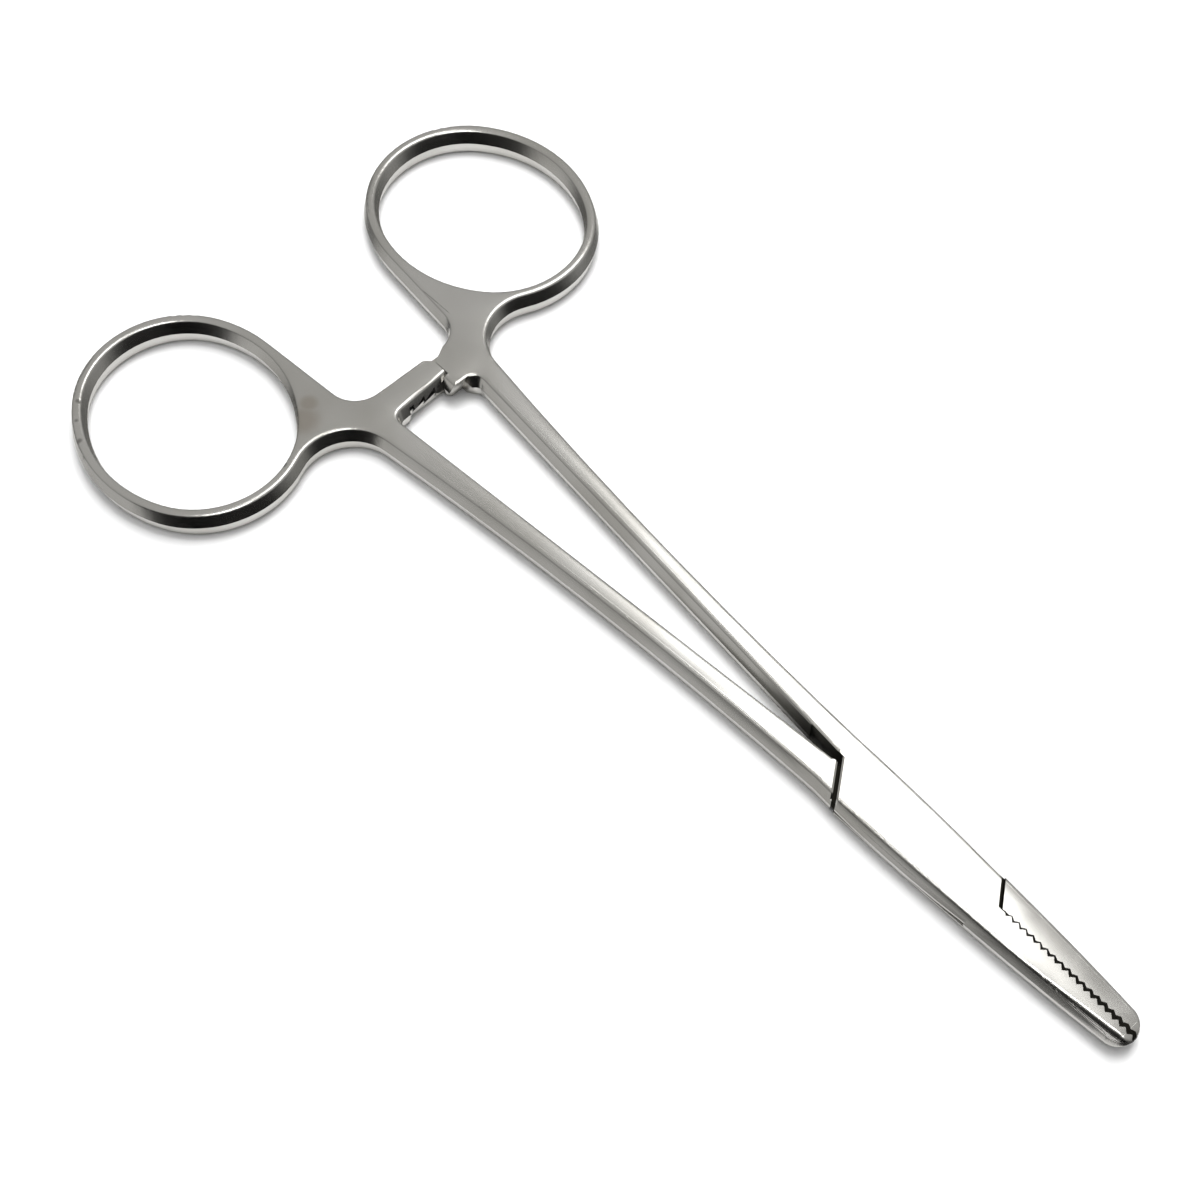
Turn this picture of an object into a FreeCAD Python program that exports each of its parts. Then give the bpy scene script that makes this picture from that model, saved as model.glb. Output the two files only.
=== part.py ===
import FreeCAD, Part
import math
import os
import Sketcher
from FreeCAD import Placement, Rotation, Vector

# Box-lock needle holder with finger rings and a ratchet, closed on its teeth.
# +X runs to the jaw tip, +Y is the side of the female half's ring, +Z is up.
# Both halves are drawn as forgings, tapered both ways from a level parting plane,
# and are then machined: jaw faces, box slot, tongue, pin bore and ratchet teeth.

# Driving dimensions in millimetres, angles in degrees
SIZES = {
    # forgings
    "overall_length": 140.0,
    "half_height": 2.05,
    "forging_draft": 12.0,
    "edge_radius": 0.5,
    "opening_radius": 0.5,
    "edge_bevel": 0.26,
    "machining_stock": 0.6,
    # finger rings: an oval of four arcs inside a band of even width
    "ring_center_y": 22.8,
    "ring_half_length": 13.7,
    "ring_half_width": 11.7,
    "ring_band": 1.85,
    "ring_tilt": 5.8,
    "neck_radius": 6.0,
    "saddle_angle": 5.0,
    "saddle_radius": 3.5,
    # ratchet arms
    "arm_outer_x": -41.9,
    "arm_inner_x": -38.1,
    "arm_root_x": -37.4,
    "arm_root_radius": 1.0,
    "arm_reach": 3.05,
    "arm_end_bevel": 1.45,
    "arm_end_gap": 0.1,
    "arm_side_gap": 0.2,
    "root_block_x": -35.6,
    "root_block_end": 2.6,
    "root_block_undercut": 1.45,
    "root_far_bevel": 1.35,
    "root_far_bevel_length": 3.2,
    "tooth_pitch": 1.75,
    "tooth_height": 0.9,
    "tooth_clearance": 0.3,
    "first_tooth_y": 1.05,
    # shanks of the female half
    "female_shank_outer_end": 3.9,
    "female_shank_outer_root": 8.6,
    "female_shank_bow": 0.75,
    "female_shank_inner_end": 0.35,
    "female_shank_inner_root": 5.2,
    # shanks of the male half
    "male_shank_outer_end": 3.5,
    "male_shank_outer_root": 8.45,
    "male_shank_bow": 0.8,
    "male_shank_inner_end": -0.25,
    "male_shank_inner_root": 4.9,
    "shank_end_x": 28.8,
    "shank_root_x": -33.0,
    # box lock
    "pin_x": 40.5,
    "pin_diameter": 2.6,
    "pin_clearance": 0.04,
    "pin_flare": 0.35,
    "box_half_width": 3.8,
    "box_end_half_width": 3.15,
    "female_box_bow": 0.15,
    "male_box_bow": 0.4,
    "cheek_reach": 8.95,
    "cheek_slant": 35.8,
    "shoulder_gap": 0.45,
    "slot_half_height": 0.85,
    "slot_reach": 9.9,
    "slot_slant": 31.2,
    "tongue_side_gap": 0.05,
    "tongue_end_gap": 0.12,
    "lock_chamfer": 0.22,
    # jaws
    "jaw_length": 20.2,
    "jaw_top_bow": 0.17,
    "jaw_side_bow": 0.4,
    "jaw_tip_radius": 2.25,
    "jaw_tip_half_height": 1.05,
    "jaw_nose_length": 1.04,
    "jaw_nose_drop": 0.85,
    "jaw_nose_bow": 0.16,
    "serration_start": 53.2,
    "serration_end_land": 1.5,
    "serration_pitch": 0.96,
    "serration_depth": 0.36,
    "serration_gap": 0.14,
}

doc = FreeCAD.newDocument("needle_holder")
sheet = doc.addObject("Spreadsheet::Sheet", "sizes")
for row, (alias, number) in enumerate(SIZES.items(), start=1):
    sheet.set("A%d" % row, alias)
    sheet.set("B%d" % row, "%g" % number)
    sheet.setAlias("B%d" % row, alias)
doc.recompute()


def size(alias):
    """The number held by a named cell of the sheet."""
    return float(sheet.get(alias))


# The radius at the ends of the ring's oval, which makes four arcs follow an ellipse closely
RING_END_FORMULA = "sizes.ring_half_width * sqrt(sizes.ring_half_width / sizes.ring_half_length)"
RING_END = size("ring_half_width") * math.sqrt(size("ring_half_width") / size("ring_half_length"))
# How far the forging's top outline lies inside its parting-plane outline
INSET = size("half_height") * math.tan(math.radians(size("forging_draft")))
WIDER = " + sizes.half_height * tan(sizes.forging_draft * 1 deg)"
TIGHTER = " - sizes.half_height * tan(sizes.forging_draft * 1 deg)"
# How close two places count as one
NEAR = 0.025
# How far past the metal a cut's outer corners lie
BEYOND = 1.0
WELL_BEYOND = 5.0
RATCHET_STEPS = 3


# Plane geometry for the outlines

def flat(x, y):
    return Vector(x, y, 0)


def from_point(center, radius, degrees):
    """The point at a radius and an angle from a centre."""
    angle = math.radians(degrees)
    return center + flat(radius * math.cos(angle), radius * math.sin(angle))


def line(start, end):
    return {"kind": "line", "start": start, "end": end}


def arc(center, start, end, turns_left):
    return {"kind": "arc", "center": center, "start": start, "end": end, "left": turns_left}


def driven(piece, name, formula):
    """An arc whose radius follows a formula on the sheet."""
    piece["name"] = name
    piece["formula"] = formula
    return piece


def lines_meet(point_a, along_a, point_b, along_b):
    """The crossing of two lines, each given by a point and a direction."""
    cross = along_a.x * along_b.y - along_a.y * along_b.x
    gap = point_b - point_a
    return point_a + along_a * ((gap.x * along_b.y - gap.y * along_b.x) / cross)


def circles_meet(center_a, radius_a, center_b, radius_b, side):
    """The crossing of two circles that lies left (1) or right (-1) of the line a to b."""
    apart = center_b - center_a
    reach = apart.Length
    along = (radius_a ** 2 - radius_b ** 2 + reach ** 2) / (2 * reach)
    across = math.sqrt(radius_a ** 2 - along ** 2)
    unit = apart * (1 / reach)
    return center_a + unit * along + flat(-unit.y, unit.x) * (across * side)


def rounded_corner(before, corner, after, radius):
    """An arc of the given radius in the corner of two straight edges."""
    back = (before - corner).normalize()
    ahead = (after - corner).normalize()
    half_angle = back.getAngle(ahead) / 2
    start = corner + back * (radius / math.tan(half_angle))
    end = corner + ahead * (radius / math.tan(half_angle))
    middle = (back + ahead).normalize()
    center = corner + middle * (radius / math.sin(half_angle))
    turns_left = back.x * ahead.y - back.y * ahead.x < 0
    return arc(center, start, end, turns_left)


def bowed_center(start, end, bow):
    """The centre of a shallow arc between two points, and its radius; the bow is to the left."""
    half = (end - start) * 0.5
    radius = (half.Length ** 2 + bow ** 2) / (2 * bow)
    left = flat(-half.y, half.x).normalize()
    return start + half - left * (radius - bow), radius


# Sketches, pads and pockets

def origin_plane(body, role):
    return [item for item in body.Origin.OriginFeatures if item.Role == role][0]


def new_sketch(body, name, role="XY_Plane"):
    sketch = body.newObject("Sketcher::SketchObject", name)
    sketch.AttachmentSupport = [(origin_plane(body, role), "")]
    sketch.MapMode = "FlatFace"
    return sketch


def turned_sketch(body, name, degrees):
    """A plan sketch centred on the pin and turned about it."""
    sketch = new_sketch(body, name)
    sketch.AttachmentOffset = Placement(flat(size("pin_x"), 0), Rotation(Vector(0, 0, 1), degrees))
    sketch.setExpression("AttachmentOffset.Base.x", "sizes.pin_x")
    return sketch


def draw(sketch, path, side=1):
    """Draws a closed path of lines and arcs; side -1 mirrors it across the X axis."""
    ends = []
    for piece in path:
        start = flat(piece["start"].x, piece["start"].y * side)
        end = flat(piece["end"].x, piece["end"].y * side)
        if piece["kind"] == "line":
            index = sketch.addGeometry(Part.LineSegment(start, end), False)
            ends.append((index, 1, 2))
            continue
        center = flat(piece["center"].x, piece["center"].y * side)
        left = piece["left"] == (side > 0)
        first, last = (start, end) if left else (end, start)
        angle_first = math.atan2(first.y - center.y, first.x - center.x)
        angle_last = math.atan2(last.y - center.y, last.x - center.x)
        if angle_last < angle_first:
            angle_last += 2 * math.pi
        circle = Part.Circle(center, Vector(0, 0, 1), (start - center).Length)
        index = sketch.addGeometry(Part.ArcOfCircle(circle, angle_first, angle_last), False)
        ends.append((index, 1, 2) if left else (index, 2, 1))
    for this, following in zip(ends, ends[1:] + ends[:1]):
        sketch.addConstraint(Sketcher.Constraint("Coincident", this[0], this[2], following[0], following[1]))
    return [index for index, _, _ in ends]


def polygon(corners):
    return [line(a, b) for a, b in zip(corners, corners[1:] + corners[:1])]


def bind(sketch, constraint, name, formula):
    """Adds a constraint whose value follows a formula on the sheet."""
    index = sketch.addConstraint(constraint)
    sketch.renameConstraint(index, name)
    sketch.setExpression("Constraints." + name, formula)


def bind_radius(sketch, geometry, name, formula, value):
    bind(sketch, Sketcher.Constraint("Radius", geometry, value), name, formula)


def bound_rectangle(sketch, x_low, x_high, y_low, y_high):
    """A rectangle square to the sketch; each side is a (name, formula, value)."""
    corners = [flat(x_low[2], y_low[2]), flat(x_high[2], y_low[2]),
               flat(x_high[2], y_high[2]), flat(x_low[2], y_high[2])]
    bottom, right, top, left = draw(sketch, polygon(corners))
    sketch.addConstraint(Sketcher.Constraint("Horizontal", bottom))
    sketch.addConstraint(Sketcher.Constraint("Horizontal", top))
    sketch.addConstraint(Sketcher.Constraint("Vertical", right))
    sketch.addConstraint(Sketcher.Constraint("Vertical", left))
    for kind, geometry, (name, formula, value) in (("DistanceX", left, x_low), ("DistanceX", right, x_high),
                                                   ("DistanceY", bottom, y_low), ("DistanceY", top, y_high)):
        bind(sketch, Sketcher.Constraint(kind, -1, 1, geometry, 1, value), name, formula)


def pocket(body, name, sketch, length, side_type="Symmetric", reversed_way=False):
    """Cuts a sketch out of the body, and stops if nothing was cut."""
    before = body.Shape.Volume
    cut = body.newObject("PartDesign::Pocket", name)
    cut.Profile = sketch
    cut.SideType = side_type
    cut.Reversed = reversed_way
    cut.setExpression("Length", length)
    body.Tip = cut
    doc.recompute()
    if not body.Shape.isValid() or before - body.Shape.Volume < 1e-3:
        raise RuntimeError("no cut by " + name)
    return cut


def edge_names(shape, wanted):
    return ["Edge%d" % number for number, edge in enumerate(shape.Edges, start=1) if wanted(edge)]


def dress(body, kind, name, wanted, amount):
    """A fillet or chamfer, bound to one size, on the edges that a test picks."""
    base = body.Tip
    names = edge_names(base.Shape, wanted)
    if not names:
        raise RuntimeError("no edges for " + name)
    feature = body.newObject("PartDesign::" + kind, name)
    feature.Base = (base, names)
    feature.setExpression("Radius" if kind == "Fillet" else "Size", amount)
    body.Tip = feature
    doc.recompute()
    if not body.Shape.isValid():
        raise RuntimeError("bad edges in " + name)
    return feature


# The forging of one half, drawn with its handle on +Y and its jaw on -Y

def ring_centers():
    """Centres of the four arcs of the ring's oval: near end, far end, lower side, upper side."""
    tilt = size("ring_tilt")
    end_offset = size("ring_half_length") - RING_END
    half_width = size("ring_half_width")
    side_radius = (end_offset ** 2 + half_width ** 2 - RING_END ** 2) / (2 * (half_width - RING_END))
    band_reach = RING_END + size("ring_band")
    x = -size("overall_length") / 2 + band_reach + end_offset * math.cos(math.radians(tilt))
    center = flat(x, size("ring_center_y"))
    near_end = from_point(center, end_offset, tilt)
    far_end = from_point(center, end_offset, tilt + 180)
    lower_side = from_point(center, side_radius - half_width, tilt + 90)
    upper_side = from_point(center, side_radius - half_width, tilt - 90)
    return near_end, far_end, lower_side, upper_side, side_radius


def toward(center, point, radius):
    return center + (point - center).normalize() * radius


def ring_hole():
    """The ring's opening in the parting plane: four tangent arcs."""
    near_end, far_end, lower_side, upper_side, side_radius = ring_centers()
    lower_near = toward(lower_side, near_end, side_radius)
    lower_far = toward(lower_side, far_end, side_radius)
    upper_near = toward(upper_side, near_end, side_radius)
    upper_far = toward(upper_side, far_end, side_radius)
    return [arc(lower_side, lower_far, lower_near, True),
            arc(near_end, lower_near, upper_near, True),
            arc(upper_side, upper_near, upper_far, True),
            arc(far_end, upper_far, lower_far, True)]


def forging_outline(half, end_slant, end_reach):
    """The outline in the top plane, run clockwise from the crotch."""
    near_end, far_end, lower_side, upper_side, side_radius = ring_centers()
    end_radius = RING_END + size("ring_band") - INSET
    side_radius += size("ring_band") - INSET
    stock = size("machining_stock")
    pin = flat(size("pin_x"), 0)
    slant_out = from_point(flat(0, 0), 1, end_slant)
    slant_along = flat(-slant_out.y, slant_out.x)

    # shank edges
    inner_root = flat(size("shank_root_x"), size(half + "_shank_inner_root") + INSET)
    inner_end = flat(size("shank_end_x"), size(half + "_shank_inner_end") + INSET)
    inner_along = inner_end - inner_root
    outer_root = flat(size("shank_root_x"), size(half + "_shank_outer_root") - INSET)
    outer_end = flat(size("shank_end_x"), size(half + "_shank_outer_end") - INSET)
    bow_center, bow_radius = bowed_center(outer_end, outer_root, size(half + "_shank_bow"))

    # ratchet arm, a little longer than its machined end
    arm_end_y = -size("arm_reach") - stock
    arm_inner_end = flat(size("arm_inner_x") - INSET, arm_end_y)
    arm_outer_end = flat(size("arm_outer_x") + INSET, arm_end_y)
    arm_inner = [arm_inner_end]
    root_along = flat(size("arm_root_x") - INSET, inner_root.y) - arm_inner_end
    if half == "female":
        # a wider block that the ratchet's milling leaves standing above the plate
        block_corner = flat(size("root_block_x") - INSET, size("root_block_end"))
        arm_inner = [block_corner, flat(arm_inner_end.x, block_corner.y), arm_inner_end]
        root_along = flat(0, 1)
    root_corner = lines_meet(inner_root, inner_along, arm_inner[0], root_along)
    root_arc = rounded_corner(inner_end, root_corner, arm_inner[0], size("arm_root_radius") + INSET)
    arm_inner_lines = [line(a, b) for a, b in zip([root_arc["end"]] + arm_inner, arm_inner)]

    # saddle below the ring
    saddle_start = from_point(lower_side, side_radius, -90 - size("saddle_angle"))
    saddle_along = from_point(flat(0, 0), 1, -size("saddle_angle"))
    saddle_corner = lines_meet(saddle_start, saddle_along, arm_outer_end, flat(0, 1))
    saddle_arc = rounded_corner(arm_outer_end, saddle_corner, saddle_start, size("saddle_radius") + INSET)

    # ring, and the neck where it runs into the shank
    neck_radius = size("neck_radius") + INSET
    neck_center = circles_meet(near_end, end_radius + neck_radius, bow_center, bow_radius - neck_radius, -1)
    neck_on_ring = toward(neck_center, near_end, neck_radius)
    neck_on_shank = toward(bow_center, neck_center, bow_radius)
    lower_far = toward(lower_side, far_end, side_radius)
    upper_far = toward(upper_side, far_end, side_radius)
    upper_near = toward(upper_side, near_end, side_radius)

    # box sides and jaw, closed by the round tip
    tip_radius = size("jaw_tip_radius") - INSET
    tip_center = flat(size("overall_length") / 2 - size("jaw_tip_radius"), 0)
    box_end = flat(pin.x + size("cheek_reach"), size("box_end_half_width") - INSET)
    side_center, side_bow_radius = bowed_center(outer_end, box_end, size(half + "_box_bow"))
    low_start = flat(size("shank_end_x"), INSET - size("box_half_width"))
    jaw_low_end = flat(tip_center.x, -tip_radius)
    low_center, low_radius = bowed_center(jaw_low_end, low_start, size("jaw_side_bow"))
    jaw_cut = pin + slant_out * (end_reach + stock)
    step_cut = pin - slant_out * (end_reach + stock)
    jaw_stock_y = 2 * stock
    crotch = lines_meet(inner_root, inner_along, step_cut, slant_along)
    cut_top = line_on_circle(jaw_cut, slant_along, side_center, side_bow_radius)
    cut_low = line_on_circle(step_cut, slant_along, low_center, low_radius)
    jaw_corner = lines_meet(jaw_cut, slant_along, flat(0, jaw_stock_y), flat(1, 0))
    tip_top = tip_center + flat(math.sqrt(tip_radius ** 2 - jaw_stock_y ** 2), jaw_stock_y)

    ring_far_radius = RING_END_FORMULA + " + sizes.ring_band" + TIGHTER
    path = [line(crotch, root_arc["start"]), driven(root_arc, "arm_root", "sizes.arm_root_radius" + WIDER)]
    path += arm_inner_lines
    path += [
        line(arm_inner_end, arm_outer_end),
        line(arm_outer_end, saddle_arc["start"]),
        driven(saddle_arc, "saddle", "sizes.saddle_radius" + WIDER),
        line(saddle_arc["end"], saddle_start),
        arc(lower_side, saddle_start, lower_far, False),
        driven(arc(far_end, lower_far, upper_far, False), "ring_far", ring_far_radius),
        arc(upper_side, upper_far, upper_near, False),
        arc(near_end, upper_near, neck_on_ring, False),
        driven(arc(neck_center, neck_on_ring, neck_on_shank, True), "neck", "sizes.neck_radius" + WIDER),
        arc(bow_center, neck_on_shank, outer_end, True),
        arc(side_center, outer_end, cut_top, False),
        line(cut_top, jaw_corner),
        line(jaw_corner, tip_top),
        driven(arc(tip_center, tip_top, jaw_low_end, False), "tip", "sizes.jaw_tip_radius" + TIGHTER),
        arc(low_center, jaw_low_end, cut_low, False),
        line(cut_low, crotch),
    ]
    return path


def line_on_circle(point, along, center, radius):
    """Where a line through a point crosses a circle, nearest to that point."""
    unit = flat(along.x, along.y).normalize()
    foot = point + unit * (center - point).dot(unit)
    depth = math.sqrt(radius ** 2 - (center - foot).Length ** 2)
    ends = [foot + unit * depth, foot - unit * depth]
    return min(ends, key=lambda spot: (spot - point).Length)


def forge(label, half, side, end_slant, end_reach):
    """The forging: a pad tapered both ways from the parting plane, thinned at the jaw."""
    body = doc.addObject("PartDesign::Body", label)
    body.Label = label
    outline = new_sketch(body, label + "_outline")
    outline.setExpression("AttachmentOffset.Base.z", "sizes.half_height")
    path = forging_outline(half, end_slant, end_reach)
    indexes = draw(outline, path, side)
    for index, piece in zip(indexes, path):
        if "formula" in piece:
            bind_radius(outline, index, piece["name"], piece["formula"], outline.Geometry[index].Radius)
    doc.recompute()
    pad = body.newObject("PartDesign::Pad", label + "_upper")
    pad.Profile = outline
    pad.Reversed = True
    pad.setExpression("Length", "sizes.half_height")
    pad.setExpression("TaperAngle", "sizes.forging_draft")
    body.Tip = pad
    doc.recompute()
    mirror = body.newObject("PartDesign::Mirrored", label + "_forging")
    mirror.Originals = [pad]
    mirror.MirrorPlane = (origin_plane(body, "XY_Plane"), [""])
    body.Tip = mirror
    opening = new_sketch(body, label + "_opening")
    opening_indexes = draw(opening, ring_hole(), side)
    for index, name in ((opening_indexes[1], "near"), (opening_indexes[3], "far")):
        bind_radius(opening, index, name, RING_END_FORMULA, RING_END)
    doc.recompute()
    cut = pocket(body, label + "_finger_opening", opening, "2 * sizes.half_height")
    cut.setExpression("TaperAngle", "sizes.forging_draft")
    doc.recompute()
    return body


def jaw_profile():
    """The arc along the jaw's top, as its start, end, centre and radius in side view."""
    tip = size("overall_length") / 2
    start = flat(tip - size("jaw_length"), size("half_height"))
    end = flat(tip - size("jaw_nose_length"), size("jaw_tip_half_height"))
    center, radius = bowed_center(start, end, size("jaw_top_bow"))
    return start, end, center, radius


def thin_jaw(body, label):
    """Side profile of the jaw, cut above and below: a long arc down to the tip and a round nose."""
    clear_top = size("half_height") + BEYOND
    clear_end = size("overall_length") / 2 + BEYOND
    start, shoulder, center, _ = jaw_profile()
    nose_end = shoulder + flat(size("jaw_nose_length"), -size("jaw_nose_drop"))
    nose_center, _ = bowed_center(shoulder, nose_end, size("jaw_nose_bow"))
    corners = [nose_end, flat(clear_end, nose_end.y), flat(clear_end, clear_top), flat(start.x, clear_top)]
    corners.append(start)
    path = [arc(center, start, shoulder, False), arc(nose_center, shoulder, nose_end, False)]
    path += [line(a, b) for a, b in zip(corners, corners[1:])]
    for name, side in (("_jaw_top", 1), ("_jaw_bottom", -1)):
        profile = new_sketch(body, label + name, "XZ_Plane")
        draw(profile, path, side)
        doc.recompute()
        pocket(body, label + name + "_cut", profile, "6 * sizes.box_half_width")


def jaw_top_height(x):
    """Half height of the forging at a place along it."""
    start, _, center, radius = jaw_profile()
    if x <= start.x:
        return size("half_height")
    return center.y + math.sqrt(radius ** 2 - (x - center.x) ** 2)


def is_rim(edge, side):
    """Whether an edge that the machining leaves borders the top or the underside of a forging."""
    nose_start = size("overall_length") / 2 - size("jaw_nose_length")
    stock_start = size("pin_x") + size("cheek_reach")
    middle = edge.valueAt((edge.FirstParameter + edge.LastParameter) / 2)
    if middle.x > stock_start and middle.y * side > 0:
        return False
    for spot in [vertex.Point for vertex in edge.Vertexes] + [middle]:
        if spot.x > nose_start + NEAR:
            return False
        if abs(abs(spot.z) - jaw_top_height(spot.x)) > NEAR:
            return False
    return abs(edge.Vertexes[0].X - edge.Vertexes[-1].X) > NEAR or middle.x < stock_start


def is_opening_rim(edge):
    """Whether an edge belongs to a finger opening: inside an oval drawn along the middle of the band."""
    middle = edge.valueAt((edge.FirstParameter + edge.LastParameter) / 2)
    across = size("ring_half_length") + size("ring_band") / 2
    up = size("ring_half_width") + size("ring_band") / 2
    ring_x = (ring_centers()[0].x + ring_centers()[1].x) / 2
    return ((middle.x - ring_x) / across) ** 2 + ((abs(middle.y) - size("ring_center_y")) / up) ** 2 < 1


def break_edges(body, label, side):
    """Rounds the upper edges and bevels the underside."""
    def upper_outline(edge):
        return is_rim(edge, side) and edge.Vertexes[0].Z > 0 and not is_opening_rim(edge)

    def upper_opening(edge):
        return is_rim(edge, side) and edge.Vertexes[0].Z > 0 and is_opening_rim(edge)

    def underside(edge):
        return is_rim(edge, side) and edge.Vertexes[0].Z < 0

    dress(body, "Fillet", label + "_rounding", upper_outline, "sizes.edge_radius")
    dress(body, "Fillet", label + "_opening_rounding", upper_opening, "sizes.opening_radius")
    dress(body, "Chamfer", label + "_bevel", underside, "sizes.edge_bevel")


# Machining of the box lock, seen from above; points along a slanted line through or beside the pin

def slant_point(along_normal, along_line, slant, side=1):
    """A plan point given by its distances from the pin, across and along a slanted cut."""
    out = from_point(flat(0, 0), 1, slant)
    spot = flat(size("pin_x"), 0) + out * along_normal + flat(-out.y, out.x) * along_line
    return flat(spot.x, spot.y * side)


def along_at_height(reach, slant, y):
    """How far along a slanted cut its line reaches a height y in plan."""
    out = from_point(flat(0, 0), 1, slant)
    return (y - out.y * reach) / out.x


def jaw_face_line(side, offset):
    """The serrated parting line from root to tip, drawn so that the two halves' teeth mesh."""
    pitch = size("serration_pitch")
    half_depth = side * size("serration_depth") / 2
    teeth = int((size("overall_length") / 2 - size("serration_end_land") - size("serration_start")) / pitch)
    spots = [flat(size("serration_start") - pitch / 4, offset)]
    for tooth in range(teeth):
        x = size("serration_start") + tooth * pitch
        spots.append(flat(x, half_depth + offset))
        spots.append(flat(x + pitch / 2, -half_depth + offset))
    end = size("serration_start") + (teeth - 0.25) * pitch
    spots.append(flat(end, offset))
    spots.append(flat(size("overall_length") / 2 + BEYOND, offset))
    return spots


def cut_step(body, label, half, side, slant, reach):
    """Machines the end of the box or tongue beside the crotch, down from the forging's stock."""
    inner_root = flat(size("shank_root_x"), size(half + "_shank_inner_root") + INSET)
    inner_end = flat(size("shank_end_x"), size(half + "_shank_inner_end") + INSET)
    inner_along = (inner_end - inner_root).normalize()
    end_line = slant_point(-reach, 0, slant)
    end_along = slant_point(-reach, 1, slant) - end_line
    top = lines_meet(inner_root, inner_along, end_line, end_along)
    bottom = slant_point(-reach, along_at_height(-reach, slant, -2 * size("box_half_width")), slant)
    back = inner_along * WELL_BEYOND
    corners = [top, bottom, bottom - back, top - back]
    sketch = new_sketch(body, label + "_step")
    draw(sketch, polygon(corners), side)
    doc.recompute()
    pocket(body, label + "_step_cut", sketch, "4 * sizes.half_height")


def cut_jaw_face(body, label, side, slant, reach):
    """Machines the shoulder beyond the box and the serrated jaw face."""
    offset = -size("serration_gap") / 2
    low = slant_point(reach, along_at_height(reach, slant, offset), slant)
    clear_y = 2 * size("box_half_width")
    high = slant_point(reach, along_at_height(reach, slant, clear_y), slant)
    face = jaw_face_line(side, offset)
    corners = [low] + face + [flat(face[-1].x, clear_y), high]
    sketch = new_sketch(body, label + "_jaw_face")
    draw(sketch, polygon(corners), side)
    doc.recompute()
    pocket(body, label + "_jaw_face_cut", sketch, "4 * sizes.half_height")


def cut_ratchet(body, label, side, plate):
    """Cuts the arm to one plate with saw teeth: plate -1 keeps the lower half, 1 the upper."""
    pitch = size("tooth_pitch")
    crest = size("tooth_clearance") / 2
    valley = crest + size("tooth_height")
    past = size("half_height") + BEYOND
    root_wall = size("arm_reach") + size("arm_end_gap")
    steps = [size("first_tooth_y") - pitch * tooth for tooth in range(RATCHET_STEPS)]
    if plate > 0:
        steps.reverse()
    spots = [flat(-root_wall * plate, -past), flat(-root_wall * plate, valley)]
    for y in steps:
        spots.append(flat(y, valley))
        spots.append(flat(y, crest))
    ramp_end = steps[-1] + plate * WELL_BEYOND
    spots.append(flat(ramp_end, crest + WELL_BEYOND * size("tooth_height") / pitch))
    spots.append(flat(ramp_end, -past))
    corners = [flat(spot.x, spot.y * plate) for spot in spots]
    profile = new_sketch(body, label + "_teeth", "YZ_Plane")
    profile.setExpression("AttachmentOffset.Base.z", "(sizes.arm_outer_x + sizes.arm_inner_x) / 2")
    draw(profile, polygon(corners), 1)
    doc.recompute()
    # the female half's cut stops short of its root block
    clear = "2 * sizes.arm_side_gap" if plate < 0 else "2 * (sizes.arm_inner_x - sizes.arm_outer_x)"
    pocket(body, label + "_ratchet_cut", profile, "sizes.arm_inner_x - sizes.arm_outer_x + " + clear)


def trim_root_block(body, label, side):
    """Slants the side of the root block back, and grinds its underside to run on from the plate."""
    half_height = size("half_height")
    top = flat(size("root_block_x") - INSET, half_height)
    bottom = top - flat(size("root_block_undercut"), 2 * half_height)
    clear_x = top.x + WELL_BEYOND
    profile = new_sketch(body, label + "_root_side", "XZ_Plane")
    draw(profile, polygon([top, bottom, flat(clear_x, bottom.y), flat(clear_x, top.y)]))
    doc.recompute()
    trim_length = "2 * (sizes.female_shank_inner_root - sizes.arm_root_radius / 2)"
    pocket(body, label + "_root_trim", profile, trim_length)
    radius = size("arm_root_radius")
    far_low = flat(size("arm_outer_x") + size("root_far_bevel") + INSET, size("arm_reach") - size("arm_end_gap"))
    far_high = flat(size("arm_outer_x"), far_low.y + size("root_far_bevel_length"))
    far_cut = new_sketch(body, label + "_root_far_side")
    draw(far_cut, polygon([far_low, far_high, flat(far_high.x - BEYOND, far_high.y),
                           flat(far_high.x - BEYOND, far_low.y)]), side)
    doc.recompute()
    pocket(body, label + "_root_far_bevel_cut", far_cut, "2 * sizes.half_height", "One side", True)
    corner = flat((top.x + bottom.x) / 2, size("female_shank_inner_root") - INSET / 2)
    ground = [flat(size("arm_inner_x"), size("root_block_end") - radius),
              corner - flat(INSET / 2, 2 * radius),
              corner - flat(0, radius),
              corner + flat(radius / 2, -radius / 2),
              corner + flat(1.5 * radius, 0),
              corner + flat(3 * radius, 0),
              corner + flat(3 * radius, -3 * radius)]
    under = new_sketch(body, label + "_root_underside")
    draw(under, polygon(ground), side)
    doc.recompute()
    cut = pocket(body, label + "_root_grind", under, "2 * sizes.half_height", "One side")
    cut.setExpression("TaperAngle", "sizes.forging_draft")
    doc.recompute()


def cut_arm_end(body, label, side):
    """Cuts the arm to its reach, with its outer corner taken off."""
    end_y = -size("arm_reach")
    bevel = size("arm_end_bevel")
    outer = size("arm_outer_x")
    inner = size("arm_inner_x") + WELL_BEYOND
    past = end_y - WELL_BEYOND
    corners = [flat(outer - bevel, end_y + 2 * bevel), flat(outer + bevel, end_y), flat(inner, end_y),
               flat(inner, past), flat(outer - bevel, past)]
    free_end = new_sketch(body, label + "_arm_end")
    draw(free_end, polygon(corners), side)
    doc.recompute()
    pocket(body, label + "_arm_end_cut", free_end, "4 * sizes.half_height")


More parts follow.
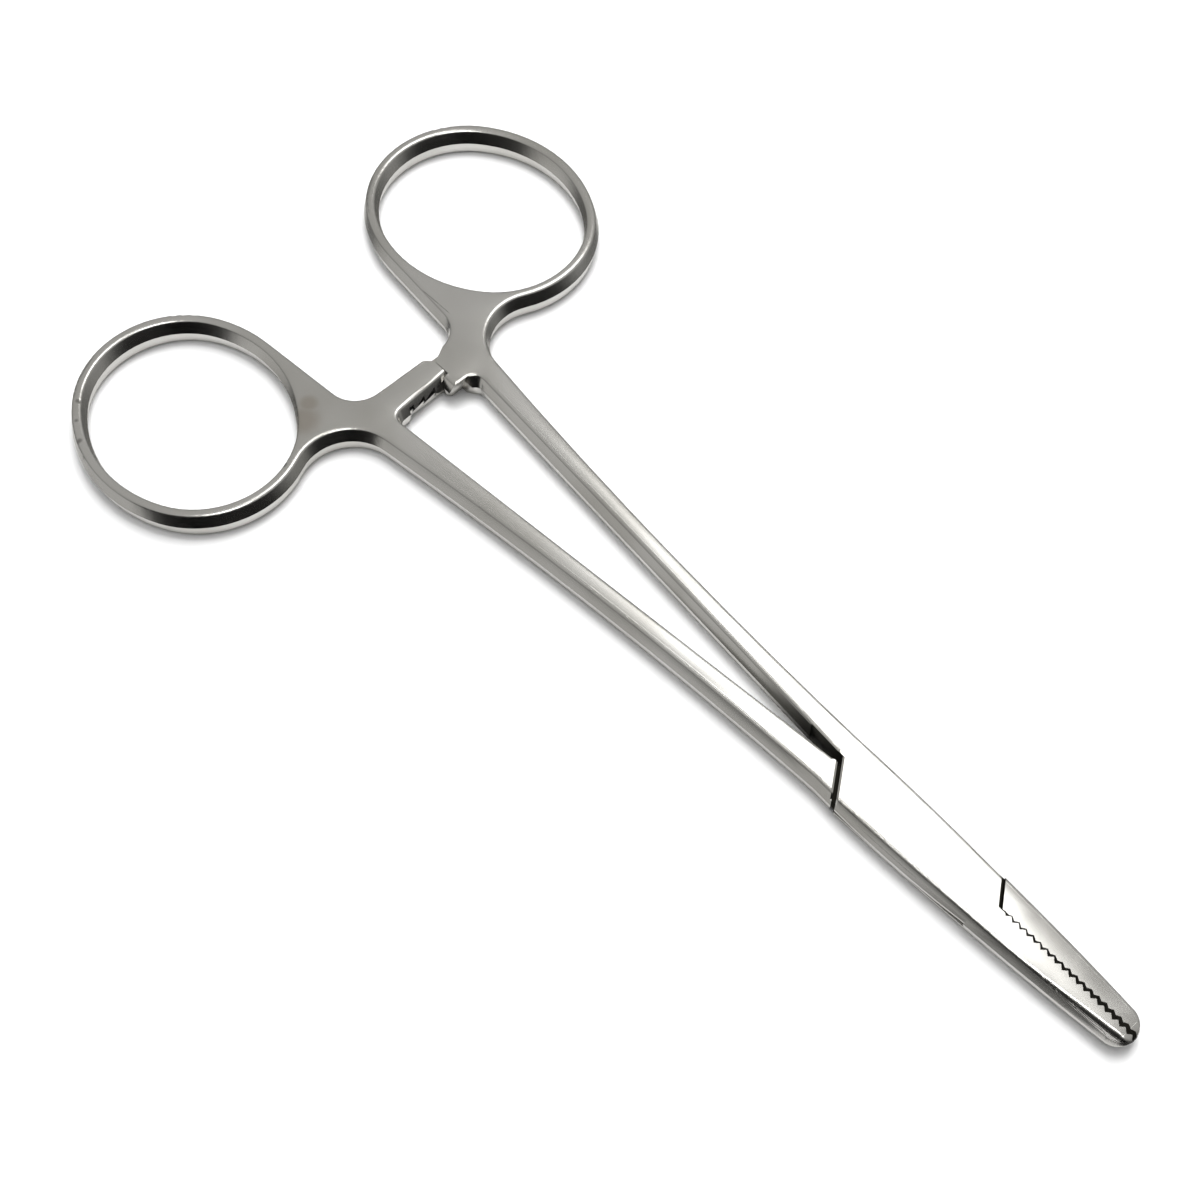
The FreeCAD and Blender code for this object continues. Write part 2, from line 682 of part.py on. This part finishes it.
bodies = {}
plans = {
    "female_half": ("female", 1, size("cheek_slant"), size("cheek_reach")),
    "male_half": ("male", -1, size("slot_slant"), size("slot_reach") - size("tongue_end_gap")),
}
for label, (half, side, slant, reach) in plans.items():
    body = forge(label, half, side, slant, reach)
    bodies[label] = body
    thin_jaw(body, label)
    break_edges(body, label, side)
    cut_step(body, label, half, side, slant, reach)
    cut_jaw_face(body, label, side, slant, reach)
    cut_ratchet(body, label, side, -1 if half == "female" else 1)
    cut_arm_end(body, label, side)
    if half == "female":
        trim_root_block(body, label, side)

# Slot through the box, and the tongue left between the male half's shoulders
female = bodies["female_half"]
male = bodies["male_half"]
slot = turned_sketch(female, "slot_plan", -size("slot_slant"))
reach = size("slot_reach")
bound_rectangle(slot, ("west", "-sizes.slot_reach", -reach), ("east", "sizes.slot_reach", reach),
                ("south", "-3 * sizes.box_half_width", -3 * size("box_half_width")),
                ("north", "3 * sizes.box_half_width", 3 * size("box_half_width")))
doc.recompute()
pocket(female, "box_slot", slot, "2 * sizes.slot_half_height")

# Material above and below the tongue
shoulder = size("cheek_reach") + size("shoulder_gap")
tongue_height = "(sizes.slot_half_height - sizes.tongue_side_gap)"
for name, way in (("tongue_top", 1), ("tongue_bottom", -1)):
    plan = turned_sketch(male, name, size("cheek_slant"))
    plan.setExpression("AttachmentOffset.Base.z", "%d * %s" % (way, tongue_height))
    bound_rectangle(plan, ("west", "-(sizes.cheek_reach + sizes.shoulder_gap)", -shoulder),
                    ("east", "sizes.cheek_reach + sizes.shoulder_gap", shoulder),
                    ("south", "-3 * sizes.box_half_width", -3 * size("box_half_width")),
                    ("north", "3 * sizes.box_half_width", 3 * size("box_half_width")))
    doc.recompute()
    pocket(male, name + "_cut", plan, "2 * sizes.half_height", "One side", way > 0)


def bore(body, name, formula):
    """A hole through the body on the pin's axis."""
    sketch = new_sketch(body, name + "_circle")
    circle = Part.Circle(flat(size("pin_x"), 0), Vector(0, 0, 1), 1.3)
    index = sketch.addGeometry(circle, False)
    sketch.addConstraint(Sketcher.Constraint("PointOnObject", index, 3, -1))
    bind(sketch, Sketcher.Constraint("DistanceX", -1, 1, index, 3, size("pin_x")), "pin_x", "sizes.pin_x")
    bind_radius(sketch, index, "radius", formula, 1.3)
    doc.recompute()
    return pocket(body, name, sketch, "4 * sizes.half_height")


bore(female, "pin_bore", "sizes.pin_diameter / 2")
bore(male, "tongue_bore", "sizes.pin_diameter / 2 + sizes.pin_clearance")


def lock_rim(edge, slant, reach):
    """Whether an edge is the straight upper rim of a shoulder of the box lock."""
    if len(edge.Vertexes) != 2 or "Line" not in type(edge.Curve).__name__:
        return False
    out = from_point(flat(0, 0), 1, slant)
    for vertex in edge.Vertexes:
        spot = vertex.Point - flat(size("pin_x"), 0)
        if abs(vertex.Z - jaw_top_height(vertex.X)) > NEAR:
            return False
        if abs(abs(spot.x * out.x + spot.y * out.y) - reach) > NEAR:
            return False
    return True


def cheek_rim(edge):
    return lock_rim(edge, size("cheek_slant"), size("cheek_reach"))


def shoulder_rim(edge):
    return lock_rim(edge, size("cheek_slant"), shoulder)


dress(female, "Chamfer", "cheek_bevel", cheek_rim, "sizes.lock_chamfer")
dress(male, "Chamfer", "shoulder_bevel", shoulder_rim, "sizes.lock_chamfer")


def bore_mouth(edge):
    """The two circles where the bore breaks out of the box's faces."""
    center = getattr(edge.Curve, "Center", None)
    if center is None or abs(center.x - size("pin_x")) > NEAR or abs(center.y) > NEAR:
        return False
    return abs(abs(center.z) - size("half_height")) < NEAR


dress(female, "Chamfer", "pin_countersink", bore_mouth, "sizes.pin_flare")

# The pin: pressed through both cheeks, its ends peened into the countersinks and ground flush
pin = doc.addObject("PartDesign::Body", "box_lock_pin")
bodies["box_lock_pin"] = pin
half_section = new_sketch(pin, "pin_section", "XZ_Plane")
radius = size("pin_diameter") / 2
flare = size("pin_flare")
high = size("half_height")
corners = [flat(0, -high), flat(radius + flare, -high), flat(radius, flare - high),
           flat(radius, high - flare), flat(radius + flare, high), flat(0, high)]
draw(half_section, polygon(corners))
half_section.AttachmentOffset = Placement(flat(size("pin_x"), 0), Rotation())
half_section.setExpression("AttachmentOffset.Base.x", "sizes.pin_x")
doc.recompute()
turned = pin.newObject("PartDesign::Revolution", "pin_turned")
turned.Profile = half_section
turned.ReferenceAxis = (half_section, ["V_Axis"])
turned.Angle = 360
pin.Tip = turned

for body in bodies.values():
    body.setExpression("Placement.Base.z", "sizes.half_height")
doc.recompute()

for body in bodies.values():
    for item in body.Group:
        if "Invalid" in item.State or "Error" in item.State:
            raise RuntimeError(item.Name)
    if body.Shape.isNull() or not body.Shape.isValid() or len(body.Shape.Solids) != 1:
        raise RuntimeError("bad solid " + body.Label)

os.makedirs("parts", exist_ok=True)
for label, body in bodies.items():
    body.Shape.exportStep("parts/%s.step" % label)
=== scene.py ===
import math

import bmesh
import bpy
from mathutils import Matrix, Vector


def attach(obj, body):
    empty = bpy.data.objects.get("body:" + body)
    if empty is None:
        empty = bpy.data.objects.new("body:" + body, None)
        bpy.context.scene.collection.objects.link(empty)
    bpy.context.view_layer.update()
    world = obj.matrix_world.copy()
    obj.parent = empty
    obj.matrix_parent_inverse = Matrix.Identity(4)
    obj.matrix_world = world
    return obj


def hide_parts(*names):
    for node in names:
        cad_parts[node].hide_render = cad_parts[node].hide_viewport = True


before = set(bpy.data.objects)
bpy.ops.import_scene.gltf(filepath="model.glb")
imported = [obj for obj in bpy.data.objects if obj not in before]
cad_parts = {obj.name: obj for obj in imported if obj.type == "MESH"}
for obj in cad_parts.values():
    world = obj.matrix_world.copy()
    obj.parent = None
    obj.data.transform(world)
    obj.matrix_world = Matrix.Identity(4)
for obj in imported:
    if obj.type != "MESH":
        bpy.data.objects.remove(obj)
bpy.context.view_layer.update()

# The camera, solved from the photograph: degrees and metres, in the part's frame
CAMERA_AZIMUTH = 46.92
CAMERA_ELEVATION = 59.66
CAMERA_DISTANCE = 0.23026
CAMERA_TARGET = (-0.00364, -0.00421, 0.00205)
LENS_MM = 61.5
SENSOR_MM = 36.0

# Where the steel's finish changes, in metres and degrees, as in the part's source
HALF_HEIGHT = 0.00205
PIN_X = 0.0405
SHOULDER_SLANT = 35.8
SHOULDER_NEAR = 0.00895
SHOULDER_FAR = 0.00940
SHOULDER_DEPTH = 0.00022
SERRATION_START = 0.0532
SERRATION_PITCH = 0.00096
SERRATION_SWING = 0.00018
TIP_X = 0.070

# How soft the border between two finishes is, sharp and wide, in metres
FINE = 0.00003
SOFT = 0.0002

# The dark of the gap at the jaws stops at the first of these, and at the shanks at the second
CHEEK_EDGE = -0.0002
STEP_EDGE = 0.0007
# The jaws' facing walls: where they start, and half the width of the seam between them
JAWS_X = (0.0500, 0.0505)
JAW_SEAM = 0.00034
# The teeth of the ratchet: half their height, and the plates that carry them
TOOTH_BAND = 0.0011
PLATES_X = (-0.0422, -0.0376)
PLATES_Y = (-0.0033, 0.0033)
# The crotch in front of the box: where it darkens, where it ends, and its width
CROTCH_X = (0.014, 0.024)
CROTCH_END = (0.0310, 0.0316)
CROTCH_Y = (-0.0002, 0.0018)
CROTCH_FADE = 0.0004
# How strongly the painted shade shows in each of these
CROTCH_SHADE = 0.9
SEAM_SHADE = 0.75
PLATE_SHADE = 0.6

# The painted shade along the seam of the jaws' lips, a dark line: half its width at the start, and what is
# added by the tip, by each tooth and by chance
LIPS_X = (0.0522, 0.0526)
LIPS_START = 0.0525
LIPS_WIDTH = 0.00004
LIPS_GROWTH = 0.00024
LIPS_BEAT = 0.00008
LIPS_CHANCE = 0.00014
LIPS_CHANCE_SCALE = 2200.0
LIPS_FADE = 0.00002

# A face is upright, or faces along the instrument, between these shares of its normal
UPRIGHT_SHARE = (0.3, 0.5)
LENGTHWISE_SHARE = (0.5, 0.8)

# Joining the faces of a CAD solid: metres, and cosines of the angle between two normals
SAME_PLACE = 0.000001
ALIKE = 0.99995
SMOOTH_TURN = 0.95

# Where the female jaw starts to round off, how fast that line runs inwards to the tip, and how
# quickly the surface falls beyond it, per metre
ROUNDED_EDGE = (0.052, -0.0031)
ROUNDED_START = 0.001
ROUNDED_SLOPE = 0.14
ROUNDED_FALL = 480.0

# The milled flat over the ratchet, on the female's root
FLAT_X = (-0.0424, -0.0364)
FLAT_Y = (0.0031, 0.0056)

# Wear: nicks on the male's ring and smudges on its root, with their reach, and one long
# scratch on the female's root
NICKS = (((-0.0647, -0.0314, 0.0039), 0.0005), ((-0.0625, -0.0332, 0.0039), 0.0004),
         ((-0.0599, -0.0346, 0.0039), 0.0005), ((-0.0664, -0.0272, 0.0039), 0.0004),
         ((-0.0410, -0.0193, 0.0039), 0.0005), ((-0.0578, -0.0354, 0.0036), 0.0004))
SMUDGES = (((-0.0444, -0.0138, 0.0041), 0.0028), ((-0.0458, -0.0118, 0.0041), 0.0016))
SPOT_CORE = 0.3
SCRATCH_X = (-0.0492, -0.0450)
SCRATCH_Y = (0.0091, 0.00915)
SCRATCH_TAPER = 0.0005
SCRATCH_SIDE = 0.00004

# Steel, as linear colour
STEEL = (0.52, 0.512, 0.492)
STEEL_DARK = (0.44, 0.43, 0.405)
NICK = (0.16, 0.155, 0.145)
SMUDGE = (0.36, 0.33, 0.29)
# the colour of the painted shade in the gaps, seams, crotch and between the ratchet's plates
PAINTED_SHADE_COLOR = (0.016, 0.015, 0.012)
SATIN_ROUGHNESS = 0.18
RECESS_ROUGHNESS = 0.3
TABLE = (0.9, 0.9, 0.9)

# How steeply the flanks' shading leans in above and below the parting line, as slopes
UPPER_CROWN = 0.62
LOWER_CROWN = 0.36
# The depth in metres of the grain, of the slow waves left by grinding, and of a nick
GRAIN_DEPTH = 0.0000003
WAVE_DEPTH = 0.000006
NICK_DEPTH = 0.00003

# The room, as directions with the cosines between which each part of it fades in
CEILING = ((0.0, 0.0, 1.0), -0.1, 0.8)
DARK_SIDE = ((0.93, -0.37, 0.1), 0.30, 0.75)
LEFT_SIDE = ((-0.3, -1.0, 0.0), 0.3, 0.9)
DARK_PATCH = ((0.25, -0.70, 0.67), 0.85, 0.93)
PALE_WALL = ((-0.45, -0.89, 0.0), 0.81, 0.91)
ROOM_TINT = (1.0, 0.995, 0.975)

FLOOR_REACH = 1.5


# Shader maths

class Value:
    """A socket with arithmetic: each operator adds one Math node."""

    def __init__(self, tree, socket):
        self.tree = tree
        self.socket = socket

    def math(self, operation, *others):
        node = self.tree.nodes.new("ShaderNodeMath")
        node.operation = operation
        for index, item in enumerate((self,) + others):
            if isinstance(item, Value):
                self.tree.links.new(item.socket, node.inputs[index])
            else:
                node.inputs[index].default_value = item
        return Value(self.tree, node.outputs[0])

    def swapped(self, operation, other):
        node = self.tree.nodes.new("ShaderNodeMath")
        node.operation = operation
        node.inputs[0].default_value = other
        self.tree.links.new(self.socket, node.inputs[1])
        return Value(self.tree, node.outputs[0])

    def __add__(self, other):
        return self.math("ADD", other)

    def __radd__(self, other):
        return self.math("ADD", other)

    def __sub__(self, other):
        return self.math("SUBTRACT", other)

    def __rsub__(self, other):
        return self.swapped("SUBTRACT", other)

    def __mul__(self, other):
        return self.math("MULTIPLY", other)

    def __rmul__(self, other):
        return self.math("MULTIPLY", other)

    def __truediv__(self, other):
        return self.math("DIVIDE", other)

    def within(self, low, high, edge):
        """1 between two values and 0 outside them, with a soft edge."""
        return self.ramp(low - edge, low) * (1 - self.ramp(high, high + edge))

    def ramp(self, low, high):
        """0 below low, 1 above high, and smooth between."""
        node = self.tree.nodes.new("ShaderNodeMapRange")
        node.interpolation_type = "SMOOTHSTEP"
        node.inputs["From Min"].default_value = low
        node.inputs["From Max"].default_value = high
        self.tree.links.new(self.socket, node.inputs["Value"])
        return Value(self.tree, node.outputs["Result"])


class Shader:
    """A material being built: add() makes any node, and the rest are the few forms used here."""

    def __init__(self, name):
        self.material = bpy.data.materials.new(name)
        self.material.use_nodes = True
        self.tree = self.material.node_tree
        self.surface = self.tree.nodes["Principled BSDF"]
        self.place = self.add("ShaderNodeTexCoord").outputs["Object"]

    def add(self, kind, settings=None, sockets=None):
        node = self.tree.nodes.new(kind)
        for key, item in (settings or {}).items():
            setattr(node, key, item)
        for key, item in (sockets or {}).items():
            self.feed(node.inputs[key], item)
        return node

    def feed(self, socket, item):
        if isinstance(item, Value):
            item = item.socket
        if isinstance(item, bpy.types.NodeSocket):
            self.tree.links.new(item, socket)
        else:
            socket.default_value = item

    def set(self, **items):
        for key, item in items.items():
            self.feed(self.surface.inputs[key.replace("_", " ")], item)

    def stretched(self, stretch):
        """The object's own coordinates, scaled along each axis."""
        return self.add("ShaderNodeMapping", None, {"Vector": self.place, "Scale": stretch}).outputs["Vector"]

    def noise(self, scale, stretch=(1, 1, 1), detail=2.0, seed=0.0):
        node = self.add("ShaderNodeTexNoise", {"noise_dimensions": "4D"},
                        {"Vector": self.stretched(stretch), "Scale": scale, "Detail": detail, "W": seed})
        return Value(self.tree, node.outputs["Fac"])

    def axis(self, letter):
        node = self.add("ShaderNodeSeparateXYZ", None, {"Vector": self.place})
        return Value(self.tree, node.outputs[letter])

    def facing(self, letter):
        """How far a face points along an axis, from 0 to 1, either way."""
        normal = self.add("ShaderNodeNewGeometry").outputs["True Normal"]
        node = self.add("ShaderNodeSeparateXYZ", None, {"Vector": normal})
        return Value(self.tree, node.outputs[letter]).math("ABSOLUTE")

    def mix(self, amount, first, second):
        node = self.add("ShaderNodeMix", {"data_type": "RGBA"})
        self.feed(node.inputs["Factor"], amount)
        self.feed(node.inputs[6], first if not isinstance(first, tuple) else first + (1.0,))
        self.feed(node.inputs[7], second if not isinstance(second, tuple) else second + (1.0,))
        return node.outputs[2]

    def spot(self, center, reach):
        """1 at a point of the surface and 0 beyond a distance from it, in metres."""
        node = self.add("ShaderNodeVectorMath", {"operation": "DISTANCE"}, {0: self.place, 1: center})
        return 1 - Value(self.tree, node.outputs["Value"]).ramp(SPOT_CORE * reach, reach)

    def any_spot(self, places):
        """1 at any of several points, each given with its reach."""
        total = self.spot(*places[0])
        for place in places[1:]:
            total = total.math("MAXIMUM", self.spot(*place))
        return total

    def bump(self, height):
        """A relief whose height is in metres."""
        node = self.add("ShaderNodeBump", None, {"Height": height, "Strength": 1.0, "Distance": 1.0})
        return node.outputs["Normal"]


def painted_recess_shade(shader):
    """Painted shade: 1 down in the box lock's gaps, along the jaws' seam and teeth, in the crotch and between
    the ratchet's plates.
    """
    x, y, z = [shader.axis(letter) for letter in "XYZ"]
    upright = 1 - shader.facing("Z").ramp(*UPRIGHT_SHARE)
    # painted shade down in the box lock's two gaps, on either side of the pin
    slant = math.radians(SHOULDER_SLANT)
    along = (x - PIN_X) * math.cos(slant) + y * math.sin(slant)
    depth = z.within(SHOULDER_DEPTH, 2 * HALF_HEIGHT - SHOULDER_DEPTH, FINE)
    jaw_side = along.within(SHOULDER_NEAR, SHOULDER_FAR, FINE)
    jaw_side = jaw_side * y.ramp(CHEEK_EDGE, CHEEK_EDGE + FINE)
    shank_side = (-1.0 * along).within(SHOULDER_NEAR, SHOULDER_FAR, FINE)
    shank_side = shank_side * (1 - y.ramp(STEP_EDGE, STEP_EDGE + FINE))
    gaps = jaw_side.math("MAXIMUM", shank_side) * depth
    # painted shade in the seam between the jaws' facing walls
    seam = 1 - y.math("ABSOLUTE").ramp(JAW_SEAM, JAW_SEAM + FINE)
    seam = seam * x.ramp(*JAWS_X) * upright
    # painted shade in the seam between the jaws' lips: a dark line that wanders with the teeth and widens to
    # the tip
    beat = (x - SERRATION_START).math("PINGPONG", SERRATION_PITCH / 2) * (2 / SERRATION_PITCH)
    swing = beat * (-2 * SERRATION_SWING)
    reach = LIPS_WIDTH + LIPS_GROWTH * ((x - LIPS_START) / (TIP_X - LIPS_START)) + LIPS_BEAT * beat
    reach = reach + LIPS_CHANCE * (shader.noise(LIPS_CHANCE_SCALE, detail=1.0) - 0.5)
    lips = (y - swing - SERRATION_SWING).math("ABSOLUTE") - reach
    lips = (1 - lips.ramp(-LIPS_FADE, FINE)) * x.ramp(*LIPS_X) * (1 - upright)
    # painted shade on the ratchet's teeth, apart from the ends of the plates that carry them
    plates = 1 - (z - HALF_HEIGHT).math("ABSOLUTE").ramp(TOOTH_BAND, TOOTH_BAND + FINE)
    plates = plates * x.within(*PLATES_X, FINE) * y.within(*PLATES_Y, FINE)
    plates = plates * (1 - shader.facing("X").ramp(*LENGTHWISE_SHARE))
    # painted shade in the narrow crotch in front of the box, where the two shanks close on each other
    crotch = x.ramp(*CROTCH_X) * (1 - x.ramp(*CROTCH_END)) * y.within(*CROTCH_Y, CROTCH_FADE)
    # all of these are painted shade, each at its own strength
    painted_shade = gaps.math("MAXIMUM", lips).math("MAXIMUM", CROTCH_SHADE * crotch * upright)
    return painted_shade.math("MAXIMUM", SEAM_SHADE * seam).math("MAXIMUM", PLATE_SHADE * plates)


def relief(shader, grain, lines, nicks):
    """The height of the ground surface in metres, over the flats and flanks of the solid."""
    x, y, z = [shader.axis(letter) for letter in "XYZ"]
    # the flanks are ground to a crown above the parting line and less so below it
    lift = z - HALF_HEIGHT
    crown = lift.math("MAXIMUM", 0.0) * -UPPER_CROWN + lift.math("MINIMUM", 0.0) * -LOWER_CROWN
    # the female jaw is rounded off towards its outer side, and more so at the tip
    start_x, start_y = ROUNDED_EDGE
    border = start_y + ROUNDED_SLOPE * (x - start_x)
    beyond = (border - y).math("MAXIMUM", 0.0)
    beyond = beyond * x.ramp(start_x - ROUNDED_START, start_x + ROUNDED_START)
    waves = shader.noise(110.0, detail=1.0, seed=4.0)
    fine = grain * 0.6 + lines * 0.4
    rounded = crown + beyond * beyond * -ROUNDED_FALL
    return rounded + WAVE_DEPTH * waves + GRAIN_DEPTH * fine - NICK_DEPTH * nicks


def satin_steel():
    """Forged stainless steel with a fine satin grain, a little cloudier in places."""
    shader = Shader("satin_steel")
    x = shader.axis("X")
    y = shader.axis("Y")
    cloud = shader.noise(90.0, seed=1.0)
    grain = shader.noise(2600.0, stretch=(0.35, 1.0, 1.0), seed=2.0)
    lines = shader.noise(900.0, stretch=(0.12, 1.0, 1.0), seed=3.0)
    # painted shade: dark colour in the box lock's gaps, the jaws' seam, the crotch and between the ratchet's
    # plates
    recess_shade = painted_recess_shade(shader)
    # painted shade: the milled flat over the ratchet is painted darker than the ground steel round it
    flat_shade = x.within(*FLAT_X, SOFT) * y.within(*FLAT_Y, SOFT)
    scratch = x.within(*SCRATCH_X, SCRATCH_TAPER) * y.within(*SCRATCH_Y, SCRATCH_SIDE)
    nicks = shader.any_spot(NICKS).math("MAXIMUM", 0.6 * scratch)
    color = shader.mix(cloud.ramp(0.3, 0.75), STEEL, STEEL_DARK)
    color = shader.mix(0.8 * shader.any_spot(SMUDGES), color, SMUDGE)
    color = shader.mix(0.45 * flat_shade, color, STEEL_DARK)
    color = shader.mix(0.75 * nicks, color, NICK)
    shader.set(Metallic=1.0,
               Base_Color=shader.mix(recess_shade, color, PAINTED_SHADE_COLOR),
               Roughness=SATIN_ROUGHNESS + 0.05 * cloud + 0.02 * grain + RECESS_ROUGHNESS * recess_shade,
               Normal=shader.bump(relief(shader, grain, lines, nicks)))
    return shader.material


def white_table():
    shader = Shader("white_table")
    shader.set(Base_Color=TABLE + (1.0,), Roughness=0.7)
    return shader.material


# Stage, lights and camera

def build_floor():
    mesh = bpy.data.meshes.new("floor")
    corners = [(FLOOR_REACH * x, FLOOR_REACH * y, 0) for x, y in ((-1, -1), (1, -1), (1, 1), (-1, 1))]
    mesh.from_pydata(corners, [], [(0, 1, 2, 3)])
    floor = bpy.data.objects.new("floor", mesh)
    bpy.context.collection.objects.link(floor)
    mesh.materials.append(white_table())


def area_light(name, place, target, width, height, power, glossy=True, diffuse=True):
    data = bpy.data.lights.new(name, "AREA")
    data.shape = "RECTANGLE"
    data.size = width
    data.size_y = height
    data.energy = power
    light = bpy.data.objects.new(name, data)
    bpy.context.collection.objects.link(light)
    aim = Vector(target) - Vector(place)
    light.matrix_world = Matrix.Translation(place) @ aim.to_track_quat("-Z", "Y").to_matrix().to_4x4()
    light.visible_glossy = glossy
    light.visible_diffuse = diffuse


def build_world():
    """A dim room: dark round the camera, mid grey opposite and above."""
    world = bpy.data.worlds.new("room")
    bpy.context.scene.world = world
    world.use_nodes = True
    world.cycles_visibility.diffuse = False
    tree = world.node_tree
    coordinates = tree.nodes.new("ShaderNodeTexCoord")
    split = tree.nodes.new("ShaderNodeSeparateXYZ")
    tree.links.new(coordinates.outputs["Generated"], split.inputs["Vector"])
    x, y, z = [Value(tree, split.outputs[letter]) for letter in "XYZ"]

    def towards(direction, start, full):
        return (direction[0] * x + direction[1] * y + direction[2] * z).ramp(start, full)

    # the dark side takes in the camera's place and runs on towards +X
    level = 0.10 + 0.52 * towards(*CEILING)
    level = level * (1 - 0.97 * towards(*DARK_SIDE)) * (1 - 0.35 * towards(*LEFT_SIDE))
    # a dark patch on the near side draws the dark edge of the jaws
    level = level * (1 - 0.93 * towards(*DARK_PATCH))
    # a pale wall to the left lights the near sides of the shanks
    level = level + 0.5 * towards(*PALE_WALL)
    color = tree.nodes.new("ShaderNodeCombineXYZ")
    for letter, tint in zip("XYZ", ROOM_TINT):
        tree.links.new((level * tint).socket, color.inputs[letter])
    tree.links.new(color.outputs["Vector"], tree.nodes["Background"].inputs["Color"])


def build_lights():
    # the window: its mirror image covers the box, the jaws and the lower shanks
    area_light("window", (-0.1165, 0.25, 0.60), (0.01, 0.0, 0.0),
               width=0.227, height=0.30, power=0.69, diffuse=False)
    # the same daylight on the table, which casts the short shadow
    area_light("daylight", (-0.11, 0.19, 0.60), (0, 0, 0),
               width=0.34, height=0.34, power=3.4, glossy=False)
    area_light("ceiling_fill", (0.0, -0.1, 1.2), (0, 0, 0),
               width=1.2, height=1.2, power=12.5, glossy=False)
    # a lamp overhead draws the thin bright lines along the rounded edges
    area_light("lamp", (0.06, -0.06, 0.9), (0, 0, 0),
               width=0.26, height=0.26, power=1.2, diffuse=False)


def build_camera():
    azimuth = math.radians(CAMERA_AZIMUTH)
    elevation = math.radians(CAMERA_ELEVATION)
    level = math.cos(elevation)
    back = Vector((math.sin(azimuth) * level, -math.cos(azimuth) * level, math.sin(elevation)))
    right = Vector((math.cos(azimuth), math.sin(azimuth), 0))
    up = back.cross(right)
    data = bpy.data.cameras.new("camera")
    data.lens = LENS_MM
    data.sensor_width = SENSOR_MM
    data.clip_start = 0.01
    camera = bpy.data.objects.new("camera", data)
    bpy.context.collection.objects.link(camera)
    turn = Matrix((right, up, back)).transposed().to_4x4()
    camera.matrix_world = Matrix.Translation(Vector(CAMERA_TARGET) + back * CAMERA_DISTANCE) @ turn
    bpy.context.scene.camera = camera


def smooth_across(piece):
    """Where two faces of the CAD solid meet smoothly, their normals are made one."""
    mesh = piece.data
    corners_at = {}
    for corner, loop in enumerate(mesh.loops):
        place = tuple(round(value / SAME_PLACE) for value in mesh.vertices[loop.vertex_index].co)
        normal = Vector(mesh.corner_normals[corner].vector)
        corners_at.setdefault(place, []).append((corner, normal))
    normals = [None] * len(mesh.loops)
    for members in corners_at.values():
        kinds = []
        for corner, normal in members:
            if all(normal.dot(kind) < ALIKE for kind in kinds):
                kinds.append(normal)
        for corner, normal in members:
            near = [kind for kind in kinds if normal.dot(kind) > SMOOTH_TURN]
            normals[corner] = sum(near, Vector()).normalized()
    # the normals travel with the corners while the faces' shared points are joined
    shape = bmesh.new()
    shape.from_mesh(mesh)
    kept = shape.loops.layers.float_vector.new("kept_normal")
    waiting = iter(normals)
    for face in shape.faces:
        face.smooth = True
        for loop in face.loops:
            loop[kept] = next(waiting)
    bmesh.ops.remove_doubles(shape, verts=shape.verts, dist=SAME_PLACE)
    for edge in shape.edges:
        edge.smooth = True
    shape.to_mesh(mesh)
    shape.free()
    joined = [Vector(item.vector) for item in mesh.attributes["kept_normal"].data]
    mesh.attributes.remove(mesh.attributes["kept_normal"])
    mesh.normals_split_custom_set(joined)


def forging(name, body, steel):
    """The CAD solid of one half, with its faces joined into one skin."""
    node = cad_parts[name]
    piece = bpy.data.objects.new(name + "_forging", node.data.copy())
    bpy.context.collection.objects.link(piece)
    smooth_across(piece)
    piece.data.materials.clear()
    piece.data.materials.append(steel)
    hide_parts(name)
    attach(piece, body)


steel = satin_steel()
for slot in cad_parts["box_lock_pin"].material_slots:
    slot.material = steel
forging("female_half", "female_body", steel)
forging("male_half", "male_body", steel)
build_floor()
build_world()
build_lights()
build_camera()
bpy.context.scene.view_settings.view_transform = "Standard"
